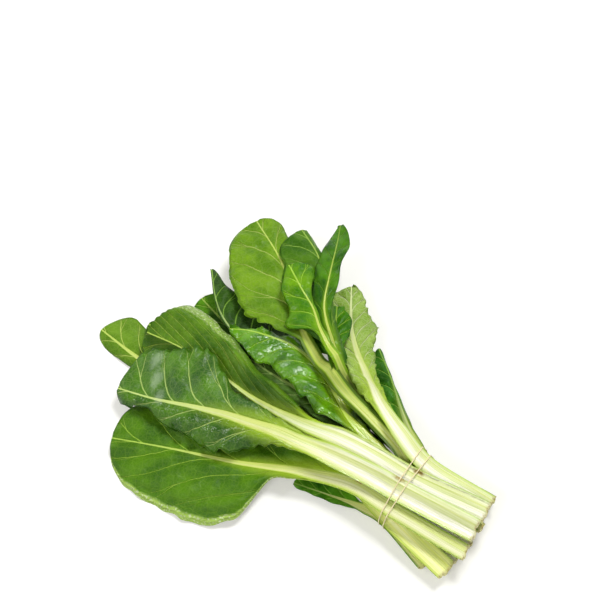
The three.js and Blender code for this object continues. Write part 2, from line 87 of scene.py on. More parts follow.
# tied: the stalk's place in the pile where it is tied, the lowest first. neck: the spine point, or a place
# between two, where the blade starts. stalk: width and thickness. taper: how soon the midrib narrows. wave:
# height and number of the waves along the margins. frill: height of the margins' ruffles, and jag: how far
# the margins are torn in and out, as a share of the blade, both from the neck to the tip. fringe: the
# blade's least width. spine: points along the midrib's upper face, from the cut end to the tip. left and
# right: the two halves of the blade, as seen from the cut end. half: half widths at even steps from the neck
# to the tip. turn: how many degrees the half is turned up, at even steps from the midrib to its margin.
# lean: its side veins' own VEIN_LEAN. tone: 0 is the deep green painted as the shade in a deep fold
# or under another leaf, 1 the blade's own green and 2 its bright edge, pale with painted sheen, from the
# midrib to the margin, and shade_along multiplies it from the neck to the tip, as more painted shade.
# dark and light: the greens that the blade varies between. net and contrast: how clear its small and its
# side veins are. pitch: from one side vein to the next. puff: how far the blade swells between them. swell:
# how much more uneven it is than others. rough: its roughness. gloss: how much it mirrors. slick: how much
# smoother the left half is, or the bright edge. pale and cream: the stalk's fibres. streak: its broad
# streaks. warm: what it turns to, from greener metres past the cut end. lime: its sides and grooves.
# bruises_and_sheen: bruises, and pale patches of painted sheen, each with its place along and across the
# leaf, its reach both ways, its strength and its colour.
LEAVES = [
    dict(
        name="leaf_01", tied=1, neck=1.6, stalk=(10, 5), taper=4, wave=(1, 4),
        spine=[(52, -46, 8), (-5, -29.5, 9), (-31, -32, 9), (-62, -39, 8), (-92, -46, 6)],
        left=dict(half=(6, 6, 6, 6, 5, 5, 6), turn=(-5, -5)),
        right=dict(half=(6, 10, 14, 14, 12, 10, 12), turn=(0, 0)),
        dark="#225c04", light="#5d9a18", vein="#7fae3c", pitch=14, puff=0.4, rough=0.45,
        pale="#dfe284", cream="#f0f0ae", warm="#3f7a10", greener=0.05, lime="#4f8a14",
    ),
    dict(
        name="leaf_02", tied=2, neck=3.3, stalk=(15, 6.5), wave=(1, 4),
        spine=[
            (74, -24, 10), (0, -18, 10), (-89, -6, 12), (-165, -15, 13), (-232, -22, 12), (-285, -26, 11),
            (-347, -19, 5),
        ],
        left=dict(half=(9, 14, 14, 12, 12, 16, 22), turn=(-4, -64)),
        right=dict(half=(9, 18, 26, 30, 28, 38, 62), turn=(2, -28)),
        dark="#4c7608", light="#6c9424", vein="#b6cf5e", pitch=26, puff=0.6, rough=0.42,
    ),
    dict(
        name="leaf_03", tied=3, neck=1.2, stalk=(15, 6.5), wave=(1, 5),
        spine=[(76, -6, 10), (0, 0, 10), (-90, 11, 15), (-145, 23, 18), (-206, 41, 18), (-285, 66, 10)],
        left=dict(half=(9, 11, 13, 18, 26, 32, 36, 36, 34, 30, 28, 34, 40), turn=(0, -15)),
        right=dict(half=(9, 40, 52, 44, 40, 38, 38, 38, 38, 38, 38, 42, 50), turn=(0, -15)),
        dark="#326601", light="#589106", vein="#94bc44", pitch=26, puff=1.6, rough=0.4,
    ),
    dict(
        name="leaf_04", tied=4, neck=1.7, stalk=(10, 5), taper=3, wave=(1, 4), fringe=1.5,
        spine=[(72, 43, 11), (2, 41.5, 12), (-22, 53, 14), (-48, 72, 16), (-74, 95, 14), (-106, 121, 8)],
        left=dict(half=(6, 9, 12, 14, 15, 13, 14), turn=(-10, -30)),
        right=dict(half=(5, 6, 7, 4, 2, 3, 8), turn=(-30, -60)),
        dark="#1d5204", light="#3f8410", vein="#7fae3c", pitch=20, puff=1, rough=0.38, gloss=0.2,
        pale="#c4cc70", cream="#e4e6b4", warm="#6a9e26", greener=0.05, lime="#7f9c28",
    ),
    dict(
        name="leaf_05", tied=6, neck=2.2, stalk=(20, 6.5), wave=(1, 5),
        spine=[(73, -41, 14), (-2, -27, 19), (-80, -4, 20), (-156, 6, 22), (-241, 15, 21), (-309, 10, 12)],
        left=dict(half=(11, 20, 28, 30, 28, 24, 30), turn=(0, -10)),
        right=dict(half=(11, 20, 26, 24, 18, 14, 18), turn=(0, -10)),
        dark="#2b4e02", light="#4a7507", vein="#8fb548", pitch=26, puff=1.4, rough=0.45,
        # Its stalk's colours are lightened, as painted light on a stalk that lies in the shade of those
        # above.
        pale="#eef08e", cream="#f8f8c0", streak="#d0dc5a", lime="#a9c23a",
    ),
    dict(
        name="leaf_06", tied=7, neck=2.9, stalk=(15, 6.5), taper=3, wave=(1.5, 6),
        spine=[
            (77, -9, 20), (0, -6, 20), (-87, 14, 24), (-152, 25, 28), (-209, 38, 30), (-244, 50, 31),
            (-262, 62, 32), (-288, 89, 32),
        ],
        left=dict(half=(9, 7, 6, 4, 3, 2, 2), turn=(30, 40)),
        right=dict(half=(9, 34, 52, 60, 50, 22, 10), turn=(-5, -25)),
        dark="#163701", light="#2f5605", vein="#78a23a", pitch=22, puff=1.8, rough=0.42, gloss=0.15,
        warm="#6f8f3c", lime="#4f7a20",
    ),
    dict(
        name="leaf_07", tied=8, neck=1, stalk=(13, 6), wave=(1.5, 4),
        spine=[
            (75, 11, 9.5), (0, 15, 10), (-62, 21, 20), (-105, 24, 28), (-134, 24, 32), (-165, 24, 33),
            (-194, 26, 32),
        ],
        left=dict(half=(7, 14, 16, 16, 14, 12, 14), turn=(0, -20)),
        right=dict(half=(7, 14, 16, 16, 14, 12, 14), turn=(0, -20)),
        # Its greens and its olive stalk are darkened as painted shade, for the shade it lies in under the
        # leaves above.
        dark="#253e06", light="#44671d", vein="#7f9c50", pitch=18, puff=2, rough=0.42,
        pale="#7f903c", cream="#9aa85c", warm="#6f8040", lime="#5f7a20",
    ),
    dict(
        name="leaf_08", tied=9, neck=1.8, stalk=(10, 5.5), wave=(2.5, 6), frill=(3, 6, 6),
        spine=[
            (78, 10, 20), (0, 13, 20), (-44, 20, 26), (-76, 27, 30), (-100, 40, 33), (-128, 52, 36),
            (-151, 58, 38), (-169, 59, 40), (-191, 54, 41), (-211, 48, 40), (-229, 40, 38),
        ],
        left=dict(half=(6, 7, 13, 25, 32, 33, 33, 35, 35, 33, 33, 25, 18), turn=(-5, -25)),
        right=dict(half=(5, 10, 14, 15, 15, 15, 16, 17, 16, 13, 10, 7, 6), turn=(-15, -45)),
        shade_along=(0.9, 1, 1), dark="#356f01", light="#66a006", vein="#96c436", contrast=0.7, pitch=26, puff=3.2,
        swell=1.8, rough=0.13, gloss=0.65,
        pale="#c6d85a", cream="#e0e89a", warm="#a8c43c", greener=0.04,
    ),
    dict(
        name="leaf_09", tied=15, neck=2.1, stalk=(16, 7), wave=(2, 7), frill=(3, 3), jag=(0.1, 0.1),
        spine=[
            (74, 30, 31), (2, 28, 37), (-27, 37, 40), (-67, 57, 40), (-104, 84, 35), (-133, 112, 30),
            (-163, 156, 26),
        ],
        left=dict(half=(10, 11, 12, 14, 18, 18, 18, 19, 20, 24, 28, 32, 36), turn=(-5, -15)),
        right=dict(half=(10, 10, 10, 10, 11, 12, 17, 19, 25, 28, 21, 22, 23), turn=(-5, -25)),
        dark="#789c30", light="#98b650", vein="#d4e0a4", net=0.5, contrast=0.65, pitch=15, puff=1.4,
        rough=0.4, gloss=0.12,
    ),
    dict(
        name="leaf_10", tied=5, neck=5.2, stalk=(6, 3), taper=3, wave=(1, 3), fringe=7,
        spine=[
            (72, 30, 9.5), (0, 29, 9.5), (-35, 42, 13), (-82, 55, 16), (-100, 60, 22), (-112, 63, 30),
            (-137, 86, 39), (-147, 104, 40), (-157, 121, 40),
        ],
        left=dict(half=(3, 10, 24, 30, 28, 22, 12), turn=(10, 10)),
        right=dict(half=(3, 4, 10, 15, 16, 17, 12), turn=(5, -15)),
        dark="#275f02", light="#4a8a08", vein="#8ab834", pitch=14, puff=1.8, rough=0.22, gloss=0.14,
        pale="#b4c45a", cream="#d0d88c", warm="#8fae34", lime="#6a9420",
    ),
    dict(
        name="leaf_11", tied=10, neck=2, stalk=(15, 6.5), taper=2.2, wave=(1.5, 5),
        spine=[
            (80, -22, 28), (-3, -26, 29), (-40, -26, 28), (-89, -40, 24), (-147, -64, 16), (-203, -84, 11),
            (-262, -107, 5),
        ],
        # The left margin is the bright edge: a paler rolled rim with painted sheen and painted glints.
        left=dict(
            half=(9, 9, 8, 10, 13, 50, 64, 66, 64, 61, 60, 58, 55), turn=(4, 2, -2, -8, -22, -44), lean=1.5,
            tone=(1, 1, 1, 1, 1, 1, 2.5),
        ),
        right=dict(half=(9, 28, 34, 31, 30, 29, 28, 29, 30, 31, 35, 55, 69), turn=(4, 4), lean=0.6),
        dark="#335f00", light="#4f7d04", vein="#9cc444", edge="#a3c455", pitch=46, puff=2.6, rough=0.45,
        gloss=0.18, slick=0.27,
        # Its stalk's fibres are darker than the usual stalk's: painted shade.
        pale="#d6d89c", cream="#ecebc6",
        bruises_and_sheen=[((116, -6), (7, 3), 0.85, "#9c7030")],
    ),
    dict(
        name="leaf_12", tied=14, neck=5.5, stalk=(8, 5), taper=2.4, wave=(1.5, 5),
        frill=(9, 6, 2, 0.6, 0.6, 0.6), jag=(0.2, 0.16, 0.06, 0.02, 0.02, 0.02), fringe=2.5,
        spine=[
            (79, 7, 29), (0, 15, 29), (-26, 28, 33), (-66, 38, 37), (-102, 45, 42), (-132, 55, 46),
            (-165, 73, 47), (-228, 128, 45), (-283, 160, 38),
        ],
        left=dict(half=(6, 30, 37, 42, 48, 52, 54, 55, 55, 53, 51, 53, 58), turn=(0, -12)),
        right=dict(half=(6, 14, 20, 23, 24, 25, 24, 21, 18, 18, 22, 29, 30), turn=(5, -5)),
        # The blade is painted darker near the neck, as the shade where it folds down.
        shade_along=(0.35, 0.85, 1, 1, 1, 1), dark="#4f7b04", light="#729b17", vein="#b4cc64", contrast=0.7,
        pitch=30, puff=2.6, rough=0.36, gloss=0.16,
        pale="#c6d060", cream="#e2e6a4", warm="#b4c848", lime="#86ac24",
    ),
    dict(
        name="leaf_13", tied=11, neck=5, stalk=(5, 3), taper=3, wave=(1, 4), fringe=7,
        spine=[
            (73, 41, 18), (0, 36, 17), (-35, 39, 18), (-82, 50, 21), (-100, 55, 27), (-112, 59, 36),
            (-177, 128, 52), (-202, 153, 52), (-235, 172, 47),
        ],
        left=dict(half=(5, 18, 34, 40, 41, 38, 56), turn=(2, -14)),
        right=dict(half=(5, 8, 6, 5, 5, 8, 16), turn=(-20, -60)),
        dark="#2b5a03", light="#4e7a12", vein="#86ae48", pitch=24, puff=2, rough=0.38, gloss=0.12,
        pale="#c6d060", cream="#e2e6a4", warm="#b4c848", lime="#86ac24",
    ),
    dict(
        name="leaf_14", tied=12, neck=5.2, stalk=(5, 3), taper=4, wave=(1, 4), fringe=2.5,
        spine=[
            (74, 23, 19), (0, 25, 20.5), (-35, 38, 24), (-82, 50, 26.5), (-100, 55, 33), (-112, 59, 42),
            (-133, 76, 50), (-159, 101, 57), (-174, 131, 59), (-190, 167, 54), (-206, 199, 48),
        ],
        left=dict(half=(6, 12, 12, 16, 18, 14, 8), turn=(-20, -30)),
        right=dict(half=(5, 5, 7, 11, 10, 16, 12), turn=(15, 25)),
        dark="#1d4e02", light="#4c840a", vein="#5f8c20", pitch=22, puff=2, rough=0.22, gloss=0.14,
        pale="#c6d060", cream="#e2e6a4", warm="#b4c848", lime="#86ac24",
    ),
    dict(
        name="leaf_15", tied=13, neck=5.2, stalk=(5.5, 3), taper=3, wave=(1, 4), fringe=2.5,
        spine=[
            (76, 22, 26), (0, 27, 27), (-35, 37, 29.5), (-82, 49, 32), (-100, 55, 39), (-112, 58, 47),
            (-145, 75, 59), (-168, 94, 62), (-191, 106, 63), (-215, 121, 62),
        ],
        left=dict(half=(4, 4, 4, 5, 10, 27, 31, 24, 20, 20, 20, 14, 12), turn=(0, -30)),
        right=dict(half=(3, 3, 3, 3, 3, 3, 3, 4, 8, 15, 24, 33, 36), turn=(-10, -30)),
        dark="#347004", light="#6a9c0a", vein="#9ccc40", pitch=24, puff=2.2, rough=0.2, gloss=0.14,
        pale="#c6d060", cream="#e2e6a4", warm="#b4c848", lime="#86ac24",
    ),
    dict(
        name="leaf_16", tied=16, neck=3, stalk=(20, 7.5), taper=3.5, wave=(1.5, 5),
        spine=[
            (77, 17, 36), (1, 7, 37), (-37, 6, 40), (-75, 2, 41), (-113, -6, 42), (-163, -10, 42),
            (-220, -4, 38), (-258, -2, 34), (-299, -3, 24),
        ],
        # Its left half is painted dark beside the midrib, as the shade of leaf_17 over it; its right half is
        # painted darker in its hollow, as shade, and pale past the fold, as the bright edge with painted
        # sheen; and its blade is painted darker near the neck, as shade.
        left=dict(half=(11, 12, 16, 25, 32, 28, 40), turn=(0, -15), tone=(0.3, 0.35, 0.6, 1)),
        right=dict(
            half=(11, 14, 17, 24, 28, 30, 32, 38, 44, 50, 60, 76, 84), turn=(20, 34, 30, -22, -40, -34),
            lean=2.4, tone=(0.9, 0.85, 0.8, 0.9, 1.9, 1.7),
        ),
        shade_along=(0.8, 0.6, 0.5, 0.8, 1, 1), dark="#386603", light="#618c16", vein="#aac850", edge="#8db04a",
        pitch=24, puff=1.8, rough=0.36, slick=0.12,
        warm="#a9bc3c", greener=0.12,
        bruises_and_sheen=[((72, -8), (11, 4), 0.9, "#8a6a14"), ((77, 7), (8, 5), 0.9, "#9a5a1c")],
    ),
    dict(
        name="leaf_17", tied=17, neck=3.2, stalk=(19, 7.5), taper=1.8, wave=(2, 5), frill=(3, 7, 4),
        jag=(0.03, 0.05, 0.04, 0.03),
        spine=[
            (78, -3, 35), (-1, -11, 36), (-24, -12.5, 38), (-61, -16.5, 41), (-101, -23, 44),
            (-147, -33, 42), (-193, -44, 37), (-241, -58, 29), (-285, -67, 20),
        ],
        left=dict(
            half=(10, 11, 12, 14, 19, 31, 36, 32, 27, 23, 13, 19, 33), turn=(-8, -12, -30, -46, -36),
            lean=0.9, tone=(1, 0.95, 0.85),
        ),
        right=dict(half=(10, 11, 12, 14, 17, 20, 27, 45, 60, 57, 57, 66, 82), turn=(4, -8), lean=0.5),
        dark="#275408", light="#4c7c0c", vein="#b5d070", pitch=34, puff=2.4, rough=0.36, gloss=0.3,
        slick=0.2,
        bruises_and_sheen=[
            # The three pale patches are painted sheen; the first mark is a bruise.
            ((82, -9), (12, 4), 0.9, "#8f7418"), ((345, -36), (10, 16), 0.35, "#b9c8ae"),
            ((336, -18), (9, 16), 0.35, "#b9c8ae"), ((326, -2), (8, 12), 0.3, "#b9c8ae"),
        ],
    ),
]
LEAVES = [{**USUAL, **leaf} for leaf in LEAVES]


def mix(a, b, share):
    """a at share 0 and b at share 1, in a straight line between them."""
    return a + (b - a) * share


def smooth(share):
    """share held between 0 and 1, eased in and out with zero slope at both ends."""
    held = np.clip(share, 0, 1)
    return held * held * (3 - 2 * held)


def along(values, u):
    """Values at shares u of an even row, on a cubic through all of them whose slope at each is half the
    difference of its neighbours."""
    row = np.asarray(values, float)
    row = np.concatenate([[2 * row[0] - row[1]], row, [2 * row[-1] - row[-2]]])
    steps = len(values) - 1
    i = np.minimum(steps - 1, np.floor(u * steps)).astype(int)
    t = u * steps - i
    before, a, b, after = (row[i + k] for k in range(4))
    start, end = (b - before) / 2, (after - a) / 2
    return a + start * t + (3 * (b - a) - 2 * start - end) * t**2 + (2 * (a - b) + start + end) * t**3


def centripetal(points, per_step=60):
    """Points close together on a curve through the given points. Each piece is the cubic whose end slopes
    come from the neighbouring points, with steps of the square root of the chord, so that it never loops."""
    p = np.asarray(points, float)
    p = np.vstack([2 * p[0] - p[1], p, 2 * p[-1] - p[-2]])
    step = np.sqrt(np.linalg.norm(np.diff(p, axis=0), axis=1))[:, None]
    p0, p1, p2, p3 = p[:-3], p[1:-2], p[2:-1], p[3:]
    d0, d1, d2 = step[:-2], step[1:-1], step[2:]
    start = ((p1 - p0) / d0 - (p2 - p0) / (d0 + d1) + (p2 - p1) / d1) * d1
    end = ((p2 - p1) / d1 - (p3 - p1) / (d1 + d2) + (p3 - p2) / d2) * d1
    t = (np.arange(per_step) / per_step)[None, :, None]
    p1, p2, start, end = (v[:, None, :] for v in (p1, p2, start, end))
    pieces = p1 + start * t + (3 * (p2 - p1) - 2 * start - end) * t**2 + (2 * (p1 - p2) + start + end) * t**3
    return np.vstack([pieces.reshape(-1, 3), p[-2]])


def wander(rng, count, longest, shortest):
    """A smooth uneven function of two lengths: a sum of sine waves of random direction, between two
    wavelengths. The waves seldom meet, so 1.6 times their mean stays within about -1 and 1."""
    lengths = np.exp(rng.uniform(math.log(shortest), math.log(longest), count))
    angles = rng.uniform(0, 2 * math.pi, count)
    phases = rng.uniform(0, 2 * math.pi, count)
    weights = 1.6 * lengths / lengths.sum()

    def value(s, w):
        total = 0
        for length, angle, phase, weight in zip(lengths, angles, phases, weights):
            way = s * math.cos(angle) + w * math.sin(angle)
            total = total + weight * np.sin(2 * math.pi * way / length + phase)
        return total

    return value


def leaf_rows(leaf):
    """The rows of a leaf's grid, across its spine: s is the way from the cut end and u the share of the
    blade, which is 0 on the stalk. Sideways is at a right angle to the spine, and as level and as square to
    the line from neck to tip as that leaves it. The midrib narrows and thins by a power of 1 - u."""
    dense = centripetal(leaf["spine"])
    run = np.concatenate([[0], np.cumsum(np.linalg.norm(np.diff(dense, axis=0), axis=1))])
    neck_share = leaf["neck"] / (len(leaf["spine"]) - 1)
    neck_at = np.interp(neck_share * (len(dense) - 1), np.arange(len(dense)), run)
    even = np.linspace(0, 1, BLADE_ROWS + 1)
    crowded = TIP_CUT * mix(even, np.sin(even * math.pi / 2), CROWDING)
    at = np.concatenate([
        np.linspace(0, neck_at, STALK_ROWS, endpoint=False), mix(neck_at, run[-1], crowded),
    ])
    slope = np.gradient(dense, run, axis=0)
    centre, forward = (
        np.stack([np.interp(at, run, line[:, k]) for k in range(3)], axis=1) for line in (dense, slope)
    )
    forward /= np.linalg.norm(forward, axis=1)[:, None]
    chord = dense[-1] - np.array([np.interp(neck_at, run, dense[:, k]) for k in range(3)])
    square = np.array([-chord[1], chord[0], 0]) / math.hypot(chord[0], chord[1])
    side = square - (forward @ square)[:, None] * forward
    side /= np.linalg.norm(side, axis=1)[:, None]
    u = np.maximum(0, (at - neck_at) / (run[-1] - neck_at))[:, None]
    stalk_width, stalk_thick = leaf["stalk"]
    return dict(
        centre=centre, forward=forward, side=side, face=np.cross(forward, side), s=at[:, None], u=u,
        opened=smooth(u / OPENING), rib=mix(RIB_TIP, stalk_width / 2, (1 - u) ** leaf["taper"]),
        thick=stalk_thick * (1 - u) ** THICK_TAPER,
    )


def side_veins(half, pitch, sign, s, out, rib, whole, drift):
    """Three phases with whole numbers on the side veins, which leave the midrib along it, bend away and fork
    twice. The first is the way along the leaf, less the vein's lean, in pitches. Each of the others is the
    first, plus a share of how far the point lies outside the fork, so that its lines branch off there."""
    beside = np.maximum(0, out - rib)
    lean = half.get("lean", VEIN_LEAN) * beside * (1 + VEIN_BEND * out / whole)
    lean = lean + VEIN_START * pitch * (1 - np.exp(-beside / (VEIN_LEAVES * pitch)))
    base = (s - lean) / pitch + 0.5 * (sign > 0) + VEIN_DRIFT * drift(s + 0.5 * out, 90 * sign)
    phases = [base]
    for shares, turns, phase, steep in FORKS:
        forks_at = mix(*shares, 0.5 + 0.5 * np.sin(2 * math.pi * turns * base + phase)) * whole - rib
        phases.append(base + steep * np.maximum(0, beside - forks_at) / pitch)
    return np.stack(phases, axis=2)


def half_leaf(leaf, half, sign, wave_shift, rows, bumps):
    """Half of a leaf's upper face, on a grid from the midrib's middle to the margin. The section is the
    running sum of short steps in the direction turn(share), so that it can rise, curl and roll. On top of
    it come the waves and ruffles of the margin, the swelling of the blade between its side veins, a slight
    unevenness and the ridges of the stalk."""
    s, u, rib, thick, opened = (rows[key] for key in ("s", "u", "rib", "thick", "opened"))
    by_row = u[:, 0]
    torn_by = along(leaf["jag"], by_row)[:, None] * bumps["jag"](s, 40 * sign)
    margin = along(half["half"], by_row)[:, None] * (1 + torn_by)
    fringe = mix(RIM, leaf["fringe"], smooth((s - FRINGE_START) / FRINGE_RUN))
    wing = np.maximum(fringe, opened * (margin * np.sqrt(1 - u**ROUNDING) - rib))
    whole = rib + wing
    rib_steps = np.linspace(0, 1, RIB_COLUMNS + 1)
    wing_steps = np.linspace(0, 1, WING_COLUMNS + 1)[1:]
    out = np.hstack([rib * rib_steps, rib + wing * wing_steps])
    share = out / whole
    ratio = out / rib
    crescent = 2 * GROOVE * np.minimum(1, ratio)
    turn = np.radians(mix(crescent, along(half["turn"], share), opened))
    step = np.diff(out, axis=1)
    between_steps = (turn[:, 1:] + turn[:, :-1]) / 2
    start = np.zeros((len(s), 1))
    sideways = np.hstack([start, np.cumsum(np.cos(between_steps) * step, axis=1)])
    raised = np.hstack([start, np.cumsum(np.sin(between_steps) * step, axis=1)])

    veins = side_veins(half, leaf["pitch"], sign, s, out, rib, whole, bumps["drift"])
    beside = np.maximum(0, out - rib)
    between = np.abs(np.sin(math.pi * veins[:, :, 0])) ** 1.2
    bulge = leaf["puff"] * (between - 0.35) * opened * smooth(beside / SWOLLEN_FROM)
    bulge = bulge * smooth((1 - share) / 0.25)
    height, count = leaf["wave"]
    ripple = height * opened * share**2 * np.sin(2 * math.pi * count * u + wave_shift)
    frill = along(leaf.get("frill", (FRILL * height, FRILL * height)), by_row)[:, None]
    frill = frill * opened * share**5 * bumps["jag"](1.3 * s + 30, 25 * sign)
    uneven = UNEVEN[0] * bumps["uneven"](s, sign * out) + UNEVEN[1] * bumps["blister"](s, sign * out)
    uneven = uneven * leaf["swell"] * leaf["puff"] * (1 - 0.6 * share**4)
    uneven = uneven * opened * smooth(beside / UNEVEN_FROM)
    ridges = RIDGE_HEIGHT * thick * np.sin(RIDGES * math.pi * np.minimum(1, ratio)) ** 2
    return dict(
        sideways=sign * sideways, raised=raised + ripple + frill + bulge + uneven + ridges, out=sign * out,
        share=share, ratio=ratio, veins=veins, between=between, beside=beside,
        ragged=TORN * bumps["torn"](0 * s, sign * out) * np.exp(-s / TORN_REACH),
        # painted shade and painted sheen across the half, with more painted shade along the leaf
        tone=along(half.get("tone", (1, 1)), share) * along(leaf["shade_along"], by_row)[:, None],
    )


def leaf_faces(leaf, seed):
    """The upper and lower faces of a leaf as grids of points, with the values that its material reads. The
    two halves lie side by side, along the leaf's own directions. The lower face is the blade's thickness
    below the upper one, the stalk's half ellipse below that, and a little lower along the side veins."""
    rng = np.random.default_rng(seed)
    bumps = dict(
        uneven=wander(rng, 7, longest=60, shortest=14),
        jag=wander(rng, 9, longest=30, shortest=5),
        drift=wander(rng, 4, longest=160, shortest=60),
        blister=wander(rng, 12, longest=20, shortest=8),
        torn=wander(rng, 8, longest=14, shortest=2.5),
    )
    rows = leaf_rows(leaf)
    right = half_leaf(leaf, leaf["right"], -1, 2, rows, bumps)
    left = half_leaf(leaf, leaf["left"], 1, 0, rows, bumps)

    def both(key):
        """The right half from its margin inwards, then the left half from beside the middle outwards."""
        return np.concatenate([right[key][:, :0:-1], left[key]], axis=1)

    upper = rows["centre"][:, None, :]
    for direction, amount in (("side", "sideways"), ("face", "raised"), ("forward", "ragged")):
        upper = upper + rows[direction][:, None, :] * both(amount)[:, :, None]
    ratio, share, opened = both("ratio"), both("share"), rows["opened"]
    below = BLADE + rows["thick"] * np.sqrt(np.maximum(0, 1 - ratio**2))
    below = below + VEIN_RELIEF * opened * (1 - both("between")) ** 6 * smooth(both("beside") / 4)
    vein_width = opened * mix(*VEIN_WIDTHS, share**0.7) * smooth((1 - share) / 0.08)
    return dict(
        upper=upper, lower=upper - rows["face"][:, None, :] * below[:, :, None], veins=both("veins"),
        uv=np.stack([rows["s"] + 0 * share, both("out")], axis=2), run=rows["u"] + 0 * share,
        across=np.stack([np.minimum(ratio, 8), vein_width, both("tone")], axis=2),
    )


# How the leaves lie: a height map of the pile in square cells, in two zones that meet at FAN. Nearer the cut
# ends the leaves lie in the order in which they were tied, and beyond FAN in the order of the list. Each
# gives way smoothly upwards around what lies under it.
CELL = 1.5
REACH = 480  # half side of the map
SIDE = round(2 * REACH / CELL)
FAN = -118
FADE = 20  # length over which one order fades into the other
FINER = 3  # samples along each side of a quad
STALK_SPREAD = (10, 3)  # cells, along X and Y, over which a stalk gives way around a leaf under it
BLADE_SPREAD = (10, 10)  # and cells over which a blade does


def finer(face):
    """The points of a grid and evenly spread points between them, on the straight lines between
    neighbours."""
    rows, columns = face.shape[:2]
    i = np.linspace(0, rows - 1, (rows - 1) * FINER + 1)
    j = np.linspace(0, columns - 1, (columns - 1) * FINER + 1)
    i0, j0 = np.minimum(i.astype(int), rows - 2), np.minimum(j.astype(int), columns - 2)
    a, b = (i - i0)[:, None, None], (j - j0)[None, :, None]
    low = mix(face[i0][:, j0], face[i0][:, j0 + 1], b)
    high = mix(face[i0 + 1][:, j0], face[i0 + 1][:, j0 + 1], b)
    return mix(low, high, a).reshape(-1, 3)


def cell_of(points):
    """The cell of the map over which each point lies."""
    at = np.rint((points[:, :2] + REACH) / CELL).astype(int)
    return at[:, 0], at[:, 1]


def spread_out(field, reach, highest):
    """The highest value, or the mean, within reach cells along X and then along Y."""
    for axis in (0, 1):
        if reach[axis] > 0:
            shifted = [np.roll(field, d, axis) for d in range(-reach[axis], reach[axis] + 1)]
            field = np.maximum.reduce(shifted) if highest else sum(shifted) / len(shifted)
    return field


def stack(faces, zone, reach):
    """Lays leaves on each other on one side of FAN, the lowest first: the lift of a leaf is a field over the
    table, at least what its lower face needs to clear the pile, so that its two faces stay together."""
    pile = np.zeros((SIDE, SIDE))
    for leaf in faces:
        lower = finer(leaf["lower"])
        lower = lower[zone * (lower[:, 0] - FAN) > 0]
        x, y = cell_of(lower)
        need = np.where(pile[x, y] > 0, pile[x, y] + CLEAR - lower[:, 2], 0)
        lift = np.zeros_like(pile)
        np.maximum.at(lift, (x, y), need)
        lift = spread_out(lift, reach, True)
        lift = spread_out(lift, [reach[0] - 1, reach[1] - 1], False)
        for key in ("upper", "lower"):
            points = leaf[key]
            at = (points[:, :, :2] + REACH) / CELL
            i = np.floor(at).astype(int)
            t = at - i
            i, j, a, b = i[:, :, 0], i[:, :, 1], t[:, :, 0], t[:, :, 1]
            raised = mix(mix(lift[i, j], lift[i + 1, j], a), mix(lift[i, j + 1], lift[i + 1, j + 1], a), b)
            points[:, :, 2] += raised * smooth(1 + zone * (points[:, :, 0] - FAN) / FADE)
        upper = finer(leaf["upper"])
        upper = upper[zone * (upper[:, 0] - FAN) > 0]
        np.maximum.at(pile, cell_of(upper), upper[:, 2])


shaped = [leaf_faces(leaf, seed) for seed, leaf in enumerate(LEAVES)]
for leaf in shaped:
    sunk = np.maximum(0, -leaf["lower"][:, :, 2])
    leaf["lower"][:, :, 2] += sunk
    leaf["upper"][:, :, 2] += sunk
tied_order = sorted(range(len(LEAVES)), key=lambda k: LEAVES[k]["tied"])
stack([shaped[k] for k in tied_order], 1, STALK_SPREAD)
stack(shaped, -1, BLADE_SPREAD)


def closed_leaf(name, leaf):
    """A mesh of the two faces of a leaf and the edge between them all round, closed, its faces outwards."""
    rows, columns = leaf["upper"].shape[:2]
    top = np.arange(rows * columns).reshape(rows, columns)
    bottom = top + rows * columns
    strips = [
        (top[:-1, :-1], top[1:, :-1], top[1:, 1:], top[:-1, 1:]),
        (bottom[:-1, :-1], bottom[:-1, 1:], bottom[1:, 1:], bottom[1:, :-1]),
        (top[:-1, 0], bottom[:-1, 0], bottom[1:, 0], top[1:, 0]),
        (top[:-1, -1], top[1:, -1], bottom[1:, -1], bottom[:-1, -1]),
        (top[0, :-1], top[0, 1:], bottom[0, 1:], bottom[0, :-1]),
        (top[-1, :-1], bottom[-1, :-1], bottom[-1, 1:], top[-1, 1:]),
    ]
    quads = np.concatenate([np.stack([c.ravel() for c in strip], axis=1) for strip in strips])
    points = np.concatenate([leaf["upper"].reshape(-1, 3), leaf["lower"].reshape(-1, 3)])
    mesh = bpy.data.meshes.new(name)
    mesh.from_pydata((points + TIE) / 1000, [], quads)
    mesh.polygons.foreach_set("use_smooth", np.ones(len(quads), bool))

    def twice(values):
        """The values of one face's points, for both faces."""
        return np.tile(values.reshape(rows * columns, -1), (2, 1))

    for key in ("veins", "across"):
        mesh.attributes.new(key, "FLOAT_VECTOR", "POINT").data.foreach_set("vector", twice(leaf[key]).ravel())
    upper_side = np.repeat([1.0, 0.0], rows * columns)
    for key, values in (("run", twice(leaf["run"]).ravel()), ("upper_side", upper_side)):
        mesh.attributes.new(key, "FLOAT", "POINT").data.foreach_set("value", values)
    corners = np.empty(len(mesh.loops), int)
    mesh.loops.foreach_get("vertex_index", corners)
    mesh.uv_layers.new(name="leaf").data.foreach_set("uv", (twice(leaf["uv"])[corners] / 1000).ravel())
    return mesh


def linear(hex_colour):
    """A colour written as sRGB hex, turned to linear light with an alpha of 1."""
    channels = [int(hex_colour[k:k + 2], 16) / 255 for k in (1, 3, 5)]
    return [c / 12.92 if c <= 0.04045 else ((c + 0.055) / 1.055) ** 2.4 for c in channels] + [1]


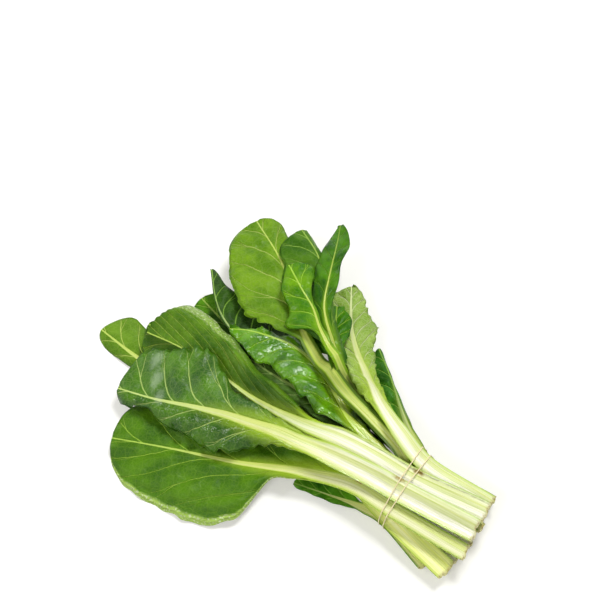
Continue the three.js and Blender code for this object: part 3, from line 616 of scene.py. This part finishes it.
def node(tree, kind, inputs=(), out=0, **settings):
    """Adds a node and gives its output out, or all of them where out is None. inputs is a row of values for
    its first sockets or a dict of sockets and values. A value that is another node's output is linked."""
    made = tree.nodes.new("ShaderNode" + kind)
    for name, value in settings.items():
        setattr(made, name, value)
    for socket, value in inputs.items() if isinstance(inputs, dict) else enumerate(inputs):
        if isinstance(value, bpy.types.NodeSocket):
            tree.links.new(value, made.inputs[socket])
        else:
            made.inputs[socket].default_value = value
    return made.outputs[out] if made.outputs and out is not None else made.outputs


EASED = dict(interpolation_type="SMOOTHSTEP")  # a map range from its second value to its third, as 0 to 1
COLOURS = dict(data_type="RGBA", out=2)  # a mix of the colours 6 and 7 by the share 0


def chard_skin(leaf):
    """Fresh chard: a waxy green blade with a soft gloss, paler along its veins, and a stalk that is cream
    white with yellow green grooves and fine fibres along it. The cut end has dried to a pale tan."""
    material = bpy.data.materials.new("chard_skin_" + leaf["name"])
    material.use_nodes = True
    tree = material.node_tree
    tree.nodes.clear()
    add = functools.partial(node, tree)
    tint = {key: linear(value) for key, value in leaf.items() if isinstance(value, str) and value[0] == "#"}
    place = add("UVMap", uv_map="leaf")
    from_cut, sideways = add("SeparateXYZ", (place,), out=None)[:2]
    across = add("Attribute", attribute_name="across", out="Vector")
    ratio, vein_width, tone = add("SeparateXYZ", (across,), out=None)
    run = add("Attribute", attribute_name="run", out="Fac")
    upper_side = add("Attribute", attribute_name="upper_side", out="Fac")
    lower_side = add("Math", (1.0, upper_side), operation="SUBTRACT")

    def uneven(length, width=None, detail=2.0, roughness=0.5):
        """An uneven pattern, in spots of length mm along the leaf and width mm, or the same, across it."""
        scale = (1000 / length, 1000 / (width or length), 1)
        spot = add("Mapping", {"Vector": place, "Scale": scale})
        return add("TexNoise", {"Vector": spot, "Scale": 1.0, "Detail": detail, "Roughness": roughness})

    def layered(colour, *layers):
        """Colour with others over it, each with the share that a pattern and a strength give it."""
        for pattern, strength, laid in layers:
            share = add("Math", (pattern, strength), operation="MULTIPLY")
            colour = add("Mix", {0: share, 6: colour, 7: laid}, **COLOURS)
        return colour

    # Side veins lie at the whole numbers of each phase, a little astray. Past a fork they are finer.
    astray = add("Math", (uneven(25), 0.16, 0.42), operation="MULTIPLY_ADD")
    phases = add("Attribute", attribute_name="veins", out="Vector")
    phases = add("VectorMath", (phases, astray), operation="ADD")
    phases = add("VectorMath", (phases,), operation="FRACTION")
    phases = add("VectorMath", (phases, (0.5, 0.5, 0.5)), operation="SUBTRACT")
    phases = add("VectorMath", (phases,), operation="ABSOLUTE")
    first, second, third = add("SeparateXYZ", (phases,), out=None)
    forks = add("Math", (second, third), operation="MINIMUM")
    forks = add("Math", (forks, 1.5), operation="MULTIPLY")
    nearest = add("Math", (first, forks), operation="MINIMUM")
    distance = add("Math", (nearest, leaf["pitch"] * 0.8), operation="MULTIPLY")
    width = add("Math", (vein_width, 0.05), operation="MAXIMUM")
    widths_away = add("Math", (distance, width), operation="DIVIDE")
    has_veins = add("MapRange", (vein_width, 0.08, 0.3), **EASED)
    past_rib = add("MapRange", (ratio, 0.9, 1.2), **EASED)
    past_rib = add("Math", (has_veins, past_rib), operation="MULTIPLY")
    vein = add("MapRange", (widths_away, 1.0, 0.2), **EASED)
    vein = add("Math", (vein, past_rib), operation="MULTIPLY")
    halo = add("MapRange", (widths_away, 6.0, 0.5), **EASED)
    halo = add("Math", (halo, past_rib), operation="MULTIPLY")

    # The net of small veins between them, in meshes of about 9.5 mm and 3 mm, bent by up to 4 mm.
    nets = []
    for mesh_size, fades_from, full_at, strength in ((9.52, 0.07, 0.01, 0.6), (3.03, 0.16, 0.02, 0.4)):
        bend = add("Math", (uneven(6.25), 0.004), operation="MULTIPLY")
        bent = add("VectorMath", (place, bend), operation="ADD")
        edges = add(
            "TexVoronoi", {"Vector": bent, "Scale": 1000 / mesh_size},
            feature="DISTANCE_TO_EDGE", voronoi_dimensions="2D",
        )
        edges = add("MapRange", (edges, fades_from, full_at), **EASED)
        nets.append(add("Math", (edges, strength), operation="MULTIPLY"))
    small_veins = add("Math", nets, operation="MAXIMUM")
    small_veins = add("Math", (small_veins, past_rib), operation="MULTIPLY")

    # The blade's green, darker and lighter in blotches of about 26 mm and in flecks of about 2.4 mm.
    blotches = add("MapRange", (uneven(26.32, detail=3), 0.34, 0.68), **EASED)
    flecks = add("Math", (uneven(2.381, detail=3, roughness=0.6), 0.5, -0.25), operation="MULTIPLY_ADD")
    mottled = add("Math", (blotches, flecks), operation="ADD")
    green = layered(
        tint["dark"], (mottled, 1, tint["light"]), (small_veins, leaf["net"], tint["vein"]),
        (halo, 0.25, tint["light"]), (vein, leaf["contrast"], tint["vein"]),
    )

    # The slick part: the left half, or the bright edge, where puckers of about 6 mm catch the light. The
    # bright edge's colour is a pale edge green with painted sheen and painted glints of about 2.4 mm.
    if "edge" in leaf:
        slick = add("Math", (uneven(6.667), 0.5, tone), operation="MULTIPLY_ADD")
        slick = add("MapRange", (slick, 1.45, 2.05), **EASED)
        painted_glints = add("MapRange", (uneven(2.381, detail=3), 0.5, 0.66), **EASED)
        painted_sheen = layered(tint["edge"], (painted_glints, 1, linear("#cddca4")))
        green = layered(green, (slick, 1, painted_sheen))
    else:
        slick = add("MapRange", (sideways, -0.001, 0.001), **EASED)

    # The stalk and midrib: pale fibres of about 3 mm, broad streaks of 7 mm and lines of 1 mm, all long. It
    # is greener at its sides, past the tied place and towards the tip.
    fibres = add("MapRange", (uneven(167, 3.03, 3, 0.6), 0.36, 0.62), **EASED)
    lines = add("MapRange", (uneven(143, 1.11), 0.52, 0.66), **EASED)
    streaks = add("MapRange", (uneven(333, 6.67), 0.46, 0.6), **EASED)
    past_end = add("MapRange", (from_cut, leaf["greener"], leaf["greener"] + 0.12), **EASED)
    past_tie = add("MapRange", (from_cut, 0.07, 0.2), **EASED)
    past_tie = add("Math", (past_tie, 0.35, 0.55), operation="MULTIPLY_ADD")
    sides = add("MapRange", (ratio, 0.6, 1.05), **EASED)
    sides = add("Math", (sides, past_tie), operation="MULTIPLY")
    tipwards = add("MapRange", (run, 0.3, 1.0), **EASED)
    stalk = layered(
        tint["pale"], (fibres, 1, tint["cream"]), (past_end, 0.7, tint["warm"]),
        (streaks, 0.62, tint["streak"]), (lines, 0.38, tint["lime"]), (sides, 1, tint["lime"]),
        (tipwards, 0.85, tint["vein"]),
    )
    on_rib = add("MapRange", (ratio, 1.2, 0.85), **EASED)
    beside_rib = add("MapRange", (ratio, 4.0, 1.0), **EASED)
    near_neck = add("MapRange", (run, 0.85, 0.0), **EASED)
    beside_rib = add("Math", (beside_rib, near_neck), operation="MULTIPLY")
    green = layered(green, (beside_rib, 0.75, tint["lime"]))
    # Painted shade: below 1 the green darkens towards a deep shade green, in folds and under other leaves.
    green = layered(linear("#122a04"), (tone, 1, green))
    colour = layered(green, (on_rib, 1, stalk), (lower_side, 0.35, linear("#a8bd7c")))

    # The cut end has dried to tan and brown over 2 to 6 mm.
    from_end = add("Math", (uneven(2), 0.005, from_cut), operation="MULTIPLY_ADD")
    dried = add("MapRange", (from_end, 0.006, 0.002), **EASED)
    browned = add("MapRange", (uneven(3.03, detail=3), 0.5, 0.62), **EASED)
    tan = layered(linear("#e2dc9c"), (browned, 1, linear("#a07236")))
    colour = layered(colour, (dried, 0.8, tan))

    # Marks are bruises, and pale patches of painted sheen, with frayed edges.
    for at, reach, strength, mark in leaf["bruises_and_sheen"]:
        off = add("VectorMath", (place, (at[0] / 1000, at[1] / 1000, 0)), operation="SUBTRACT")
        off = add("VectorMath", (off, (1000 / reach[0], 1000 / reach[1], 1)), operation="MULTIPLY")
        far = add("VectorMath", (off,), operation="LENGTH", out="Value")
        frayed = add("Math", (uneven(3.333, detail=4, roughness=0.7), 1.2, far), operation="MULTIPLY_ADD")
        marked = add("MapRange", (frayed, 1.5, 0.7), **EASED)
        colour = layered(colour, (marked, strength, linear(mark)))

    # Relief, in half millimetres: skin, puckers and fibres stand out, and the veins are sunk.
    skin = add("Math", (uneven(3.846, detail=4, roughness=0.6), 0.5), operation="MULTIPLY")
    pucker = add("Math", (uneven(10.53), 4.0), operation="MULTIPLY")
    pucker = add("Math", (pucker, past_rib, skin), operation="MULTIPLY_ADD")
    relief = add("Math", (uneven(33.3, 0.909), on_rib, pucker), operation="MULTIPLY_ADD")
    if "edge" in leaf:
        crumple = add("Math", (uneven(5.88), 6.0), operation="MULTIPLY")
        relief = add("Math", (crumple, slick, relief), operation="MULTIPLY_ADD")
    relief = add("Math", (vein, -1.4, relief), operation="MULTIPLY_ADD")
    relief = add("Math", (small_veins, -0.5, relief), operation="MULTIPLY_ADD")
    bump = add("Bump", {"Height": relief, "Distance": 0.0005, "Strength": 1.0})

    # The underside is duller, the slick part smoother, and the rest uneven.
    dull = add("Math", (lower_side, 0.2, leaf["rough"] - 0.1), operation="MULTIPLY_ADD")
    dull = add("Math", (uneven(3.333), 0.2, dull), operation="MULTIPLY_ADD")
    dull = add("Math", (slick, -leaf["slick"], dull), operation="MULTIPLY_ADD")
    shader = add("BsdfPrincipled", {
        "Base Color": colour, "Roughness": dull, "Normal": bump, "Specular IOR Level": leaf["gloss"],
    })
    add("OutputMaterial", (shader,))
    return material


for leaf, faces in zip(LEAVES, shaped):
    piece = bpy.data.objects.new("chard_" + leaf["name"], closed_leaf(leaf["name"], faces))
    bpy.context.scene.collection.objects.link(piece)
    piece.data.materials.append(chard_skin(leaf))
    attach(piece, "root")
    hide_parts(leaf["name"])

# Rubber bands. Each is a thin beige ring of natural rubber, cut from tube, stretched round all the stalks so
# that it runs straight between the outermost ones.
BAND_WIDTH = 1.1
BAND_THICK = 0.7
BAND_GAP = 0.1  # between the stalks and the band
BAND_STEPS = 180  # steps round a band
BAND_CORNERS = 10  # corners of its oval section
# place: where the band crosses the bundle's middle. slant: degrees by which it is askew.
BANDS = [dict(name="rubber_band_01", place=-4, slant=2), dict(name="rubber_band_02", place=4, slant=-1.5)]


def band_ring(place, slant):
    """Rings of points: an oval section carried round the outline that touches the stalks from all sides, in
    the plane across the bundle at place, turned by slant about the vertical."""
    away = np.array([1, math.tan(math.radians(slant)), 0])
    away /= np.linalg.norm(away)
    offset = place * away[0]
    crossings = []
    for leaf in shaped:
        for key in ("upper", "lower"):
            here, there = leaf[key][:-1].reshape(-1, 3), leaf[key][1:].reshape(-1, 3)
            a, b = here @ away - offset, there @ away - offset
            crossed = (a * b <= 0) & (a != b)
            here, there, a, b = here[crossed], there[crossed], a[crossed, None], b[crossed, None]
            crossings.append(mix(here, there, a / (a - b)))
    crossings = np.concatenate(crossings)
    side = np.cross(away, [0, 0, 1])
    angle = np.linspace(0, 2 * math.pi, BAND_STEPS, endpoint=False)
    facing = np.cos(angle)[:, None] * np.array([0, 0, 1]) + np.sin(angle)[:, None] * side
    touching = (crossings @ facing.T).max(axis=0) + BAND_THICK / 2 + BAND_GAP
    step = angle[1]
    onwards = np.cross(away, facing)
    shift = (np.roll(touching, -1) - touching * math.cos(step)) / math.sin(step)
    path = away * offset + facing * touching[:, None] + onwards * shift[:, None]
    turn = np.linspace(0, 2 * math.pi, BAND_CORNERS, endpoint=False)
    outward = (BAND_THICK / 2 * np.cos(turn))[None, :, None] * facing[:, None, :]
    sideways = (BAND_WIDTH / 2 * np.sin(turn))[None, :, None] * away
    return path[:, None, :] + outward + sideways


def natural_rubber():
    """Natural rubber, cut from a thin tube: a dull tan, slightly dusty, in clouds of 2.86 mm."""
    material = bpy.data.materials.new("natural_rubber")
    material.use_nodes = True
    tree = material.node_tree
    tree.nodes.clear()
    place = node(tree, "TexCoord", out="Object")
    cloud = node(tree, "TexNoise", {"Vector": place, "Scale": 1000 / 2.86, "Detail": 3.0})
    colour = node(tree, "Mix", {0: cloud, 6: linear("#dccb94"), 7: linear("#efe4bc")}, **COLOURS)
    bump = node(tree, "Bump", {"Height": cloud, "Distance": 0.0002})
    shader = node(tree, "BsdfPrincipled", {"Base Color": colour, "Roughness": 0.55, "Normal": bump})
    node(tree, "OutputMaterial", (shader,))
    return material


rubber = natural_rubber()
for band in BANDS:
    ring = band_ring(band["place"], band["slant"])
    at = np.arange(BAND_STEPS * BAND_CORNERS).reshape(BAND_STEPS, BAND_CORNERS)
    beyond, beside = np.roll(at, -1, axis=0), np.roll(at, -1, axis=1)
    quads = np.stack([at, beside, np.roll(beyond, -1, axis=1), beyond], axis=2).reshape(-1, 4)
    mesh = bpy.data.meshes.new(band["name"])
    mesh.from_pydata((ring.reshape(-1, 3) + TIE) / 1000, [], quads)
    mesh.polygons.foreach_set("use_smooth", np.ones(len(quads), bool))
    mesh.materials.append(rubber)
    piece = bpy.data.objects.new("tie_" + band["name"], mesh)
    bpy.context.scene.collection.objects.link(piece)
    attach(piece, "root")
    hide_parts(band["name"])

# The table: a plain white sheet, matt, that takes the bunch's soft shadow. It is not part of the bunch.
FLOOR_REACH = 6  # metres from the middle to each side
SHADED = (0.5, 1.5)  # metres from the middle at which the shaded floor starts and ends turning plain white
WHITENED = 0.3  # the share of plain white in the shaded floor
PLAIN_WHITE = 1.25  # strength of the plain white


def white_sheet():
    """White painted board: matt and even, with a faint mottle of 333 mm. What the camera sees of it is
    brought up to white where no shadow falls, and far away, where the lamps are weak."""
    material = bpy.data.materials.new("white_board")
    material.use_nodes = True
    tree = material.node_tree
    tree.nodes.clear()
    place = node(tree, "TexCoord", out="Object")
    mottle = node(tree, "TexNoise", {"Vector": place, "Scale": 1000 / 333})
    white = node(tree, "Mix", {0: mottle, 6: linear("#f4f4f2"), 7: linear("#f8f8f6")}, **COLOURS)
    board = node(tree, "BsdfDiffuse", {"Color": white})
    glow = node(tree, "Emission", {"Color": linear("#fffcf4"), "Strength": PLAIN_WHITE})
    away = node(tree, "VectorMath", (place,), operation="LENGTH", out="Value")
    glowing = node(tree, "MapRange", (away, *SHADED, WHITENED, 1.0))
    lit = node(tree, "MixShader", (glowing, board, glow))
    seen = node(tree, "LightPath", out="Is Camera Ray")
    shown = node(tree, "MixShader", (seen, board, lit))
    node(tree, "OutputMaterial", (shown,))
    return material


mesh = bpy.data.meshes.new("table")
corners = [(x * FLOOR_REACH, y * FLOOR_REACH, 0) for x, y in ((-1, -1), (1, -1), (1, 1), (-1, 1))]
mesh.from_pydata(corners, [], [(0, 1, 2, 3)])
mesh.materials.append(white_sheet())
table = bpy.data.objects.new("table", mesh)
bpy.context.scene.collection.objects.link(table)

# Light: a room whose walls look white and whose ceiling is dim, one soft lamp above and behind, as at a
# window, and two weaker ones in front.
ROOM_LIGHT = 0.32  # strength at which the room lights the bunch, and at which the ceiling is seen
CEILING = (0.7, 0.4)  # upward part of a direction at which the ceiling starts to give way to white wall


def white_room():
    """The room's light: even and weak, with walls that are seen and mirrored as white."""
    world = bpy.data.worlds.new("white_room")
    world.use_nodes = True
    tree = world.node_tree
    tree.nodes.clear()
    path = node(tree, "LightPath", out=None)
    seen = node(tree, "Math", (path["Is Camera Ray"], path["Is Glossy Ray"]), operation="MAXIMUM")
    seen = node(tree, "Math", (seen, path["Is Transmission Ray"]), operation="MAXIMUM")
    direction = node(tree, "TexCoord", out="Generated")
    upwards = node(tree, "SeparateXYZ", (direction,), out="Z")
    wall = node(tree, "MapRange", (upwards, *CEILING))
    seen = node(tree, "Math", (seen, wall), operation="MULTIPLY")
    strength = node(tree, "MapRange", (seen, 0.0, 1.0, ROOM_LIGHT, 1.0))
    room = node(tree, "Background", {"Color": linear("#ffffff"), "Strength": strength})
    node(tree, "OutputWorld", (room,))
    return world


def soft_lamp(name, place, size, power):
    """A square lamp at place, which faces the middle of the bunch."""
    lamp = bpy.data.lights.new(name, "AREA")
    lamp.size = size
    lamp.energy = power
    holder = bpy.data.objects.new(name, lamp)
    holder.location = place
    holder.rotation_euler = (-Vector(place)).to_track_quat("-Z", "Y").to_euler()
    bpy.context.scene.collection.objects.link(holder)


bpy.context.scene.world = white_room()
soft_lamp("window_lamp", (0.05, 0.85, 1.85), size=0.6, power=30)
soft_lamp("fill_lamp", (0.05, -1.35, 1.6), size=0.5, power=11)
soft_lamp("side_lamp", (-1.3, -0.88, 1.2), size=0.2, power=6)

# The camera looks down on the bunch from beside its cut ends.
TARGET = Vector((-0.06421, 0.08555, 0.025))
EYE = Vector((0.36132, -0.52217, 1.21227))
LENS = 84  # millimetres

camera = bpy.data.objects.new("camera", bpy.data.cameras.new("camera"))
camera.location = EYE
camera.rotation_euler = (TARGET - EYE).to_track_quat("-Z", "Y").to_euler()
camera.data.lens = LENS
camera.data.clip_start = 0.1
camera.data.clip_end = 20
bpy.context.scene.collection.objects.link(camera)
bpy.context.scene.camera = camera
bpy.context.scene.view_settings.view_transform = "Standard"
